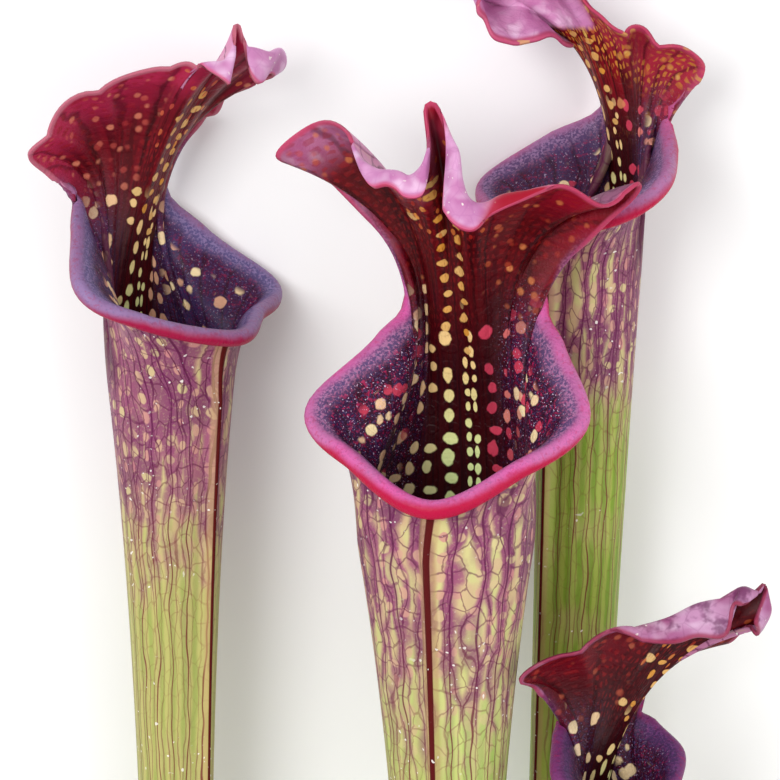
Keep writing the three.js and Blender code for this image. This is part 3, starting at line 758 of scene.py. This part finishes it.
def paint_throat_windows(face, inner):
    """Windows in rows up the back of the throat: deep ones pale yellow-green, lightened further as
    painted light shining through them, then cream and peach.
    """
    big, at, above, present, own = face.windows(face.u - 0.003, face.wobble, *THROAT_WINDOWS)
    off = at.abs()
    depth = above * face.tall
    keep = (depth.rises(34, 8) * 0.35 + 0.5) * off.rises(0.36, 0.28) * off.rises(0.05, 0.07)
    keep = keep * depth.rises(38, 30)
    peach = face.mix(own, "window_left", "window_pale")
    peach = face.mix(own.less(0.14), peach, "window_right")
    rosy = face.mix(off.rises(0.15, 0.3) * own, "window_right", "window_left")
    # The deepest windows are pale yellow-green, lightened further as painted light shining through the
    # leaf.
    tint = face.mix(depth.rises(4, 24), "deep_window_and_painted_glow", "window_high")
    tint = face.mix(off.rises(0.14, 0.3) * at.rises(0.01, -0.01), tint, peach)
    tint = face.mix(off.rises(0.08, 0.13) * at.rises(-0.01, 0.01), tint, rosy)
    face.paint(big * present.less(keep) * inner * (own * 0.25 + 0.75), tint)
    return big


def paint_panes(face, inner):
    """Two files of pale panes with the dark midline between them: wide left, narrow right."""
    tint = face.mix(face.level.rises(8, 30), "pane", "window_high")
    files = [(0.012, LEFT_PANES, 0.0357, 0.02), (-0.012, RIGHT_PANES, -0.033, 0.025)]
    for shift, kind, aside, width in files:
        pane, at, above, present, own = face.windows(face.u + shift, face.wobble * 0.4, *kind)
        keep = (above * face.tall).rises(44, 14) * 0.7 + 0.3
        file = (at + aside).abs().less(width)
        face.paint(pane * file * present.less(keep) * face.level.rises(38, 30) * inner, tint)


def paint_flare_windows(face):
    """Windows scattered on the flares, rosier on the right."""
    dot, there, tone = face.spots(*FLARE_SPOTS)
    share = face.rim.rises(-3, -12) * 0.25 + face.look["scatter"]
    field = face.around.rises(0.26, 0.33) * face.rim.rises(-4.6, -6.0) * (1 - face.high)
    tint = face.mix(tone, "window_left", "window_pale")
    tint = face.mix(tone.less(0.2), tint, "window_right")
    tint = face.mix(face.u.rises(-0.02, 0.12) * tone.rises(0.95, 0.6), tint, "window_right")
    face.paint(dot * there.less(share) * field * (tone * 0.2 + 0.8), tint)


def paint_neck_windows(face):
    """Golden windows up the neck, bright in a few files beside the midline."""
    mid, at, above, present, own = face.windows(face.u, face.wobble, *NECK_WINDOWS)
    off = at.abs()
    depth = above * face.tall
    keep = (off.rises(0.13, 0.05) * 0.6 + 0.25) * depth.rises(26, 34)
    keep = keep * depth.rises(64, 50) * off.rises(0.2, 0.13)
    shown = mid * present.less(keep) * face.rim.rises(-1.5, -3)
    right = off.rises(0.08, 0.14) * at.rises(-0.01, 0.01)
    gold = face.mix(own, "gold", "gold_pale")
    gold = face.mix(right * face.look["ember_share"], gold, "ember")
    face.paint(shown * (off.rises(0.2, 0.06) * 0.5 + 0.5), gold)
    return mid


def paint_hood_pattern(face):
    """In the hood: small files near the midline, a soft scatter and a mosaic on the lobes."""
    look = face.look
    fine, at, above, present, own = face.windows(face.u, face.wobble, *HOOD_WINDOWS)
    keep = (above * face.tall).rises(40, 50) * look["fine_share"]
    shown = fine * present.less(keep) * at.abs().rises(0.15, 0.13) * face.rim.rises(-0.4, -2.4)
    face.paint(shown * (own * 0.4 + 0.5) * face.hood, face.mix(own, "ember", "fine"))
    freckle, there, tone = face.spots(*FRECKLES)
    lobes = face.high * face.around.rises(0.12, 0.15) * face.rim.rises(-0.4, -1.6)
    shown = freckle * there.less(look["freckle_share"]) * lobes
    face.paint(shown * (tone * 0.45 + 0.3), face.mix(tone, "ember", "freckle"))
    mosaic = cells(vector(face.u * 70 + face.wobble, face.v / 1.5))[0].rises(0.2, 0.34)
    share = face.patch.rises(0.4, 0.6) * 0.7 + face.broad.rises(0.42, 0.58) * 0.3
    face.paint(mosaic * face.high * (share * look["mosaic_share"]), "mosaic")
    glints = cloud(face.elsewhere, 3300, 1).rises(0.66, 0.72) * face.dusky
    face.paint(glints * look["grainy"] * 0.8, "glint")
    return fine, own


def paint_turned_edge(face):
    """Lilac where the hood curls right back over its crest, and where its edge hangs over."""
    look = face.look
    over_line = split(face.place)[1] * 1000 + face.wobble * 3
    curl = over_line.rises(look["curl"], look["curl"] + 1.2)
    curl = curl * face.u.rises(look["curl_u"], look["curl_u"] - 0.03)
    over = face.rim.rises(-0.6, 0.1) * face.u.rises(look["sheet_u"], look["sheet_u"] - 0.03)
    turned = 1 - (1 - curl) * (1 - over)
    face.paint(turned * face.hood, face.lilac_skin())


def paint_lip(face):
    """A painted slate-lilac sheen inside the lip, grainy, pink over its top, crimson under it."""
    lobe = face.around.rises(0.4, 0.52) * face.around.rises(1.0, 0.75)
    # Painted sheen: a grainy slate-lilac band just inside the lip.
    painted_sheen = (face.rim + face.wobble * 2.4).rises(-3.4, -0.7) * face.lip
    face.paint(painted_sheen * 0.85, face.mix(face.grain.rises(0.42, 0.6), "slate", "lilac"))
    pink = face.mix(face.patch.rises(0.4, 0.62) * 0.35 + lobe * 0.25, "pink", "lilac")
    pink = face.mix(face.grain.rises(0.5, 0.7) * 0.3, pink, "slate")
    pink = face.mix(face.coarse.rises(0.54, 0.66) * 0.3, pink, "crimson")
    face.paint((face.rim + face.wobble * 1.2).rises(-0.8, 0.8) * face.lip, pink)
    face.paint((face.rim + face.wobble * 0.8).rises(0.9, 1.9) * face.lip, "crimson")


def paint_hood_edge(face, fine, own):
    """A thin pale edge round the hood, gilt where the pattern runs out over it."""
    edge = face.hem.rises(face.look["hem"], face.look["hem"] * 0.3) * face.hood
    trim = face.mix(fine * own.rises(0.3, 0.6) * face.look["gilt"], "hood_edge", "fine")
    face.paint(edge * 0.85, trim)


def face_material(name, look):
    face = face_surface(name, look)
    shader = face.shader
    paint_ground(face)
    paint_hairs(face)
    lines = paint_veins(face)
    inner = face.rim.rises(-2.6, -4.2)
    big = paint_throat_windows(face, inner)
    paint_panes(face, inner)
    paint_flare_windows(face)
    mid = paint_neck_windows(face)
    fine, own = paint_hood_pattern(face)
    paint_turned_edge(face)
    paint_lip(face)
    paint_hood_edge(face, fine, own)

    plug(face.ground, shader.inputs["Base Color"])
    relief = bump(face.grain * face.flare, 0.0003, 0.6)
    raised = lines * -0.3 + big * inner * 0.6 + mid * 0.3 + fine * 0.3
    relief = bump(raised, 0.0003, 0.35, relief)
    plug(relief, shader.inputs["Normal"])
    plug(face.grain.rises(0.5, 0.7) * -0.1 + 0.42, shader.inputs["Roughness"])
    shader.inputs["Specular IOR Level"].default_value = 0.1
    shader.inputs["Coat Weight"].default_value = 0.1
    shader.inputs["Coat Roughness"].default_value = 0.25
    return face.material


def back_surface(name, look):
    """The outside of the tube and of the hood."""
    back = Surface(name, look, 0.42, (180, 2), (700, 2))
    back.grain = back.cloud(2200, 2, 0.6)
    back.patch = back.cloud(90, 2)
    back.mauve_from, back.green_to = look["mauve_zone"]
    back.high = (back.v + back.wobble * 22).rises(back.green_to, back.mauve_from)
    back.hood = back.around.rises(0.42, 0.34) * back.v.rises(22, 40)
    back.fold = back.rim.rises(-0.2, 0.6) * back.hood
    back.plain = 1 - back.fold * 0.9
    back.sway = swing_of(back, 3.7)
    return back


def swing_of(back, seed):
    """How far the veins sway aside."""
    return cloud(vector(back.u * 7, back.v / back.look["cell"], seed), 1.0, 1) - 0.5


def mauve_of(back):
    tone = back.mix(back.patch.rises(0.35, 0.65), "mauve", "mauve_deep")
    tone = back.mix(back.grain.rises(0.5, 0.75) * 0.25, tone, "cream")
    return back.mix(back.hood, tone, "lilac_back")


def paint_stalk(back):
    """Pale green with broad soft stripes, cream under the mauve, blushed in places."""
    stripe = (back.u * 12 + back.wobble * 0.6).from_line()
    back.ground = back.mix(stripe.rises(0.1, 0.4), "lime", "green")
    back.paint(back.patch.rises(0.42, 0.7) * 0.5, "straw")
    back.paint(back.v.rises(-110, -200), "stalk")
    back.paint(back.high * 0.8, "cream")
    pink = cloud(vector(back.u * 16, back.v / 5, 5.3), 1.0, 1)
    zone = back.v.rises(back.green_to - 12, back.mauve_from + 6)
    back.paint(zone * back.look["wash"] * pink.rises(0.42, 0.6), "blushed")


def vein_net(back):
    """Two families of swaying veins cross into a net. Counted in veins: how far the next one is."""
    bend = back.high + 0.9
    first = back.u * VEINS_ROUND + back.sway * bend + back.ragged * 0.1
    other = back.u * VEINS_ROUND + swing_of(back, 9.1) * bend + back.ragged * 0.1 + 0.5
    return first.from_line().least(other.from_line())


def paint_mauve(back, net, mauve):
    """Mauve spreads from the veins, more so upwards, with pale ovals left in it."""
    cover = back.high * back.look["cover"] + back.hood * 0.2 - net * 1.1
    cover = cover + (back.patch - 0.5) * 0.5 + back.ragged * 0.12
    back.paint(cover.rises(-0.12, 0.16) * (back.high * 0.6 + 0.3), mauve)
    oval, _, _, present, own = back.windows(back.u, back.sway * 2, *TUBE_WINDOWS)
    pale = back.mix(own, "blushed", "cream")
    back.paint(oval * present.less(0.75) * back.high * (1 - back.hood) * 0.85, pale)


def paint_net(back, net, mauve):
    """The net, the finer rungs in it, and the main veins in a mauve haze."""
    vein = back.mix(back.high, "vein_low", "vein_high")
    net_lines = net.rises(0.05, 0.015)
    faded = back.v.rises(-160, -40) * 0.25 + back.high * 0.35
    faded = faded + back.patch.rises(0.35, 0.65) * 0.3
    back.paint(net_lines * faded * back.plain, vein)
    across = back.u * 15 + back.wobble + back.ragged * 0.5
    along = back.v / 3.0 + back.sway * 2 + back.ragged * 0.2
    rungs = cells(vector(across, along))[0].rises(0.07, 0.02)
    back.paint(rungs * (back.v.rises(-70, -10) * 0.35 + back.high * 0.3) * back.plain, vein)
    main = (back.u * VEINS_ROUND + back.sway * 0.8 + 0.25).from_line()
    main_line = main.rises(0.05, 0.015)
    back.paint(main.rises(0.3, 0.03) * (back.high * 0.35 + 0.1) * back.plain, mauve)
    back.paint(main_line * (0.9 - back.hood * 0.5) * back.plain, vein)
    return net_lines * 0.3 * back.plain + main_line * back.plain


def paint_flanks(back):
    """Dark flanks under the mouth."""
    flank = back.around.rises(0.5, 0.42) * back.around.rises(0.2, 0.28) * back.v.rises(-2, 6)
    back.paint(flank * 0.8 * back.plain, "flank")


def paint_fold(back):
    """The hood's edge folded back over it: lilac, red on one side of the middle leaf."""
    start = back.look["red_from"]
    red = back.mix(back.patch.rises(0.4, 0.65) * 0.6, "fold_red", "fold_rose")
    back.paint(back.fold, back.mix(back.u.rises(start, start + 0.03), back.lilac_skin(), red))


def paint_keel(back):
    """Dark, with a pale border."""
    back.paint(back.around.rises(0.962, 0.974) * 0.5, "keel_side")
    keel = back.around.rises(0.986, 0.990)
    back.paint(keel, "keel")
    return keel


def paint_rims(back):
    """Small pale specks, the hood's edge and the underside of the lip."""
    specks = cloud(back.elsewhere, 1500, 0).rises(0.77, 0.80)
    back.paint(specks * back.patch.rises(0.46, 0.6) * 0.8, "speck")
    back.paint(back.hem.rises(0.9, 0.1) * back.hood * 0.85, "hood_edge")
    back.paint(back.rim.rises(0.2, 1.6) * back.around.rises(0.42, 0.5), "crimson")


def back_material(name, look):
    back = back_surface(name, look)
    shader = back.shader
    paint_stalk(back)
    net = vein_net(back)
    mauve = mauve_of(back)
    paint_mauve(back, net, mauve)
    raised = paint_net(back, net, mauve)
    paint_flanks(back)
    paint_fold(back)
    keel = paint_keel(back)
    paint_rims(back)

    plug(back.ground, shader.inputs["Base Color"])
    relief = bump(back.grain, 0.0002, 0.3)
    relief = bump(raised, 0.00035, 0.4, relief)
    plug(relief, shader.inputs["Normal"])
    plug(back.patch * 0.2 + 0.32 + keel * 0.25, shader.inputs["Roughness"])
    shader.inputs["Specular IOR Level"].default_value = 0.16
    return back.material


# Colours, and shares from 0 to 1. "tall" stretches the face's pattern, "curl" is the height in mm from
# which the hood is lilac, "curl_u", "sheet_u" and "red_from" are shares round the leaf, "hem" is the
# edge's width in mm and "cell" the length of a mesh in mm. "mauve_zone" is where mauve starts and green
# ends, in mm up from the throat.

FOLDS = {
    "fold": (0.66, 0.33, 0.56), "fold_deep": (0.48, 0.16, 0.36), "fold_pale": (0.82, 0.6, 0.78),
    "fold_vein": (0.36, 0.1, 0.3), "marble": 0.15, "crimson": (0.44, 0.003, 0.045),
}
SMALL_FOLDS = {
    "fold": (0.52, 0.26, 0.44), "fold_deep": (0.34, 0.09, 0.22), "fold_pale": (0.72, 0.52, 0.68),
    "fold_vein": (0.13, 0.02, 0.09), "marble": 0.75, "hood_edge": (0.3, 0.03, 0.07),
}
FACE = {
    **FOLDS,
    "throat": (0.024, 0.0006, 0.003), "glow": (0.09, 0.001, 0.004),
    "flare": (0.028, 0.002, 0.02), "flare_blue": (0.028, 0.006, 0.044),
    "hood": (0.085, 0.0012, 0.003), "patch": (0.026, 0.0008, 0.002), "margin": (0.26, 0.003, 0.016),
    "grains": (0.42, 0.015, 0.08), "grainy": 1.0, "chill": (0.075, 0.042, 0.13),
    "glint": (0.7, 0.55, 0.75), "vein": (0.018, 0.0004, 0.0015),
    # Deep windows: pale yellow-green, lightened further as painted light shining through the leaf.
    "deep_window_and_painted_glow": (0.92, 0.96, 0.46), "window_high": (0.86, 0.58, 0.25),
    "window_left": (0.94, 0.52, 0.32), "window_right": (0.62, 0.05, 0.1),
    "window_pale": (0.96, 0.78, 0.44), "pane": (0.84, 0.98, 0.42), "scatter": 0.78,
    "gold": (0.6, 0.25, 0.03), "gold_pale": (0.74, 0.5, 0.2),
    "ember": (0.46, 0.018, 0.012), "ember_share": 0.9, "fine": (0.66, 0.26, 0.05), "fine_share": 0.5,
    "freckle": (0.66, 0.22, 0.07), "freckle_share": 0.45,
    "mosaic": (0.26, 0.008, 0.01), "mosaic_share": 0.5,
    "lilac": (0.42, 0.18, 0.36), "slate": (0.12, 0.065, 0.18), "pink": (0.7, 0.1, 0.36),
    "hood_edge": (0.48, 0.05, 0.12), "hem": 1.0, "gilt": 0.0,
    "blush": 0.0, "curl": 900.0, "curl_u": 0.0, "sheet_u": -9.0, "tall": 1.0,
}
BACK = {
    **FOLDS,
    "mauve_zone": (0, -42), "mauve": (0.3, 0.06, 0.16), "mauve_deep": (0.18, 0.022, 0.11),
    "cover": 0.28, "lime": (0.44, 0.54, 0.14), "green": (0.28, 0.44, 0.08), "straw": (0.48, 0.42, 0.15),
    "stalk": (0.38, 0.36, 0.16), "lilac_back": (0.6, 0.22, 0.42), "cream": (0.62, 0.53, 0.25),
    "blushed": (0.55, 0.22, 0.22), "wash": 0.42, "cell": 9.0,
    "vein_low": (0.17, 0.018, 0.02), "vein_high": (0.1, 0.005, 0.05),
    "flank": (0.075, 0.006, 0.035), "keel_side": (0.5, 0.32, 0.14), "keel": (0.085, 0.0005, 0.001),
    "speck": (0.85, 0.8, 0.74), "hood_edge": (0.56, 0.08, 0.18), "red_from": 9.0,
    "fold_red": (0.34, 0.005, 0.022), "fold_rose": (0.6, 0.09, 0.18),
}

# Where a leaf differs

LEFT_FACE = {
    "tall": 1.2, "hood": (0.13, 0.002, 0.008), "patch": (0.05, 0.001, 0.003),
    "margin": (0.44, 0.022, 0.075), "pink": (0.29, 0.13, 0.27), "lilac": (0.27, 0.2, 0.4),
    "slate": (0.11, 0.09, 0.24), "flare": (0.045, 0.008, 0.045),
    "flare_blue": (0.05, 0.03, 0.12), "window_right": (0.9, 0.48, 0.29), "grainy": 0.4,
    "hood_edge": (0.5, 0.14, 0.2), "crimson": (0.32, 0.003, 0.045),
    "freckle": (0.74, 0.26, 0.15), "freckle_share": 0.62, "fine_share": 0.42,
    "ember": (0.56, 0.05, 0.05), "scatter": 0.9,
}
LEFT_BACK = {
    "mauve_zone": (-4, -34), "cover": 0.42, "lime": (0.44, 0.42, 0.13), "green": (0.32, 0.36, 0.09),
}
RIGHT_FACE = {
    "tall": 1.3, "hood": (0.2, 0.005, 0.01), "margin": (0.44, 0.03, 0.06),
    "fine": (0.7, 0.46, 0.09), "gilt": 0.6,
    "mosaic": (0.52, 0.2, 0.03), "mosaic_share": 1.0,
    "freckle": (0.74, 0.48, 0.12), "freckle_share": 0.75, "grainy": 0.5,
    "pink": (0.5, 0.11, 0.28), "lilac": (0.34, 0.2, 0.38), "curl": 303.0, "curl_u": 0.1,
    "sheet_u": -0.06, "hem": 1.6, "flare": (0.055, 0.014, 0.05),
    # Painted light: fold, fold_deep and fold_pale are lighter copies of the fold colours, to lift the
    # right hood's hanging sheet out of its shade.
    "flare_blue": (0.07, 0.04, 0.13), "fold": (0.76, 0.4, 0.64),
    "fold_deep": (0.58, 0.22, 0.44), "fold_pale": (0.92, 0.72, 0.88),
}
RIGHT_BACK = {
    "mauve_zone": (-8, -26), "cover": 0.3, "lime": (0.34, 0.42, 0.07), "green": (0.2, 0.32, 0.03),
}
SMALL_FACE = {
    **SMALL_FOLDS,
    "tall": 1.65, "hood": (0.048, 0.001, 0.003), "throat": (0.018, 0.0008, 0.003),
    "glow": (0.05, 0.0008, 0.003), "margin": (0.13, 0.0015, 0.008),
    "freckle": (0.4, 0.1, 0.05), "freckle_share": 0.5, "fine_share": 0.35,
    "sheet_u": 9.0, "hem": 0.6, "grainy": 0.4, "scatter": 0.95,
    "pink": (0.24, 0.02, 0.12), "lilac": (0.13, 0.045, 0.16), "slate": (0.06, 0.025, 0.09),
    "window_left": (0.88, 0.62, 0.42), "window_right": (0.8, 0.6, 0.34),
}
SMALL_BACK = {**SMALL_FOLDS, "lilac_back": (0.42, 0.14, 0.3)}
LOOKS = {
    "pitcher_centre": ({"blush": 0.5}, {"red_from": 0.105}),
    "pitcher_left": (LEFT_FACE, LEFT_BACK),
    "pitcher_right": (RIGHT_FACE, RIGHT_BACK),
    "pitcher_small": (SMALL_FACE, SMALL_BACK),
}


# The plant

for name, leaf in LEAVES.items():
    face, back = LOOKS[name]
    skin = build_leaf(name + "_skin", leaf)
    skin.data.materials.append(back_material(name + "_outside", {**BACK, **back}))
    skin.data.materials.append(face_material(name + "_inside", {**FACE, **face}))
    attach(skin, "root")
    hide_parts(name)


BARK_DARK = (0.055, 0.026, 0.014)
BARK_BROWN = (0.20, 0.10, 0.05)
BARK_PALE = (0.34, 0.22, 0.13)
BARK_DETAIL = 0.0005
LUMPS = [(420, 0.5), (1100, 0.25)]
ROOT_TOP, ROOT_FADE = -0.012, 0.004
ROOT_DEPTH, STEM_DEPTH = 0.0002, 0.0005


def bark_material():
    """Brown rhizome and roots."""
    material, shader = new_material("rhizome_bark", 0.8)
    place = spot(shader)
    rough = cloud(place, 320, 4, 0.65)
    fine = cloud(place, 1500, 3, 0.6)
    ground = mix(rough.rises(0.35, 0.65), BARK_DARK, BARK_BROWN)
    ground = mix(fine.rises(0.55, 0.75) * 0.6, ground, BARK_PALE)
    plug(ground, shader.inputs["Base Color"])
    plug(bump(rough + fine * 0.5, 0.0012, 0.8), shader.inputs["Normal"])
    return material


def fine_copy(source, name):
    """The solid again, in small even faces."""
    piece = add_object(name, source.data.copy())
    remesh = piece.modifiers.new("fine", "REMESH")
    remesh.mode = "VOXEL"
    remesh.voxel_size = BARK_DETAIL
    bpy.context.view_layer.update()
    done = piece.evaluated_get(bpy.context.evaluated_depsgraph_get())
    mesh = bpy.data.meshes.new_from_object(done)
    piece.modifiers.clear()
    piece.data = mesh
    return piece


def lumps_at(place):
    return sum(noise.noise(Vector(place) * scale) * share for scale, share in LUMPS)


def build_rhizome():
    """Roughened inward, less so on the roots."""
    piece = fine_copy(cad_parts["rhizome"], "rhizome_bark")
    mesh = piece.data
    places = np.empty(len(mesh.vertices) * 3)
    mesh.vertices.foreach_get("co", places)
    places = places.reshape(-1, 3)
    outward = np.array([tuple(v.normal) for v in mesh.vertices])
    lumps = np.array([lumps_at(place) for place in places])
    thick = smooth((places[:, 1] - ROOT_TOP) / ROOT_FADE)
    inward = np.clip(0.3 + lumps, 0, 1) * (ROOT_DEPTH + STEM_DEPTH * thick)
    places = places - outward * inward[:, None]
    places[:, 2] = np.maximum(places[:, 2], 0)
    mesh.vertices.foreach_set("co", places.ravel())
    mesh.update()
    mesh.shade_smooth()
    return piece


bark = bark_material()
rhizome = build_rhizome()
rhizome.data.materials.clear()
rhizome.data.materials.append(bark)
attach(rhizome, "root")
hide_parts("rhizome")


# Studio

def build_camera():
    tilt = math.radians(VIEW_TILT)
    back = Vector((0, math.sin(tilt), math.cos(tilt)))
    up = Vector((0, math.cos(tilt), -math.sin(tilt)))
    data = bpy.data.cameras.new("camera")
    data.sensor_width = SENSOR
    data.lens = SENSOR * VIEW_DISTANCE * PIXELS_PER_MM / PIXELS
    data.clip_start = 0.01
    data.clip_end = 20
    camera = add_object("camera", data)
    camera.matrix_world = Matrix((Vector((1, 0, 0)), up, back)).transposed().to_4x4()
    camera.location = (Vector(VIEW_TARGET) + back * VIEW_DISTANCE) * MM
    bpy.context.scene.camera = camera


def add_light(name, place, size, power):
    data = bpy.data.lights.new(name, "AREA")
    data.shape = "SQUARE"
    data.size = size
    data.energy = power
    light = add_object(name, data)
    light.location = place
    aim = Vector(LIGHTS_AIM) - Vector(place)
    light.rotation_euler = aim.to_track_quat("-Z", "Y").to_euler()


def build_floor():
    bpy.ops.mesh.primitive_plane_add(size=FLOOR_SIZE, location=(0, 0, 0))
    floor = bpy.context.object
    floor.name = "floor"
    material, shader = new_material("floor_paint", 0.9)
    tone = mix(cloud(spot(shader), 40, 2), *FLOOR_TONES)
    plug(tone, shader.inputs["Base Color"])
    floor.data.materials.append(material)


def build_sky():
    world = bpy.data.worlds.new("studio")
    world.use_nodes = True
    background = world.node_tree.nodes["Background"]
    background.inputs["Color"].default_value = (1, 1, 1, 1)
    background.inputs["Strength"].default_value = SKY_STRENGTH
    bpy.context.scene.world = world


build_camera()
build_floor()
build_sky()
for light in LIGHTS:
    add_light(*light)
bpy.context.scene.view_settings.view_transform = "Standard"
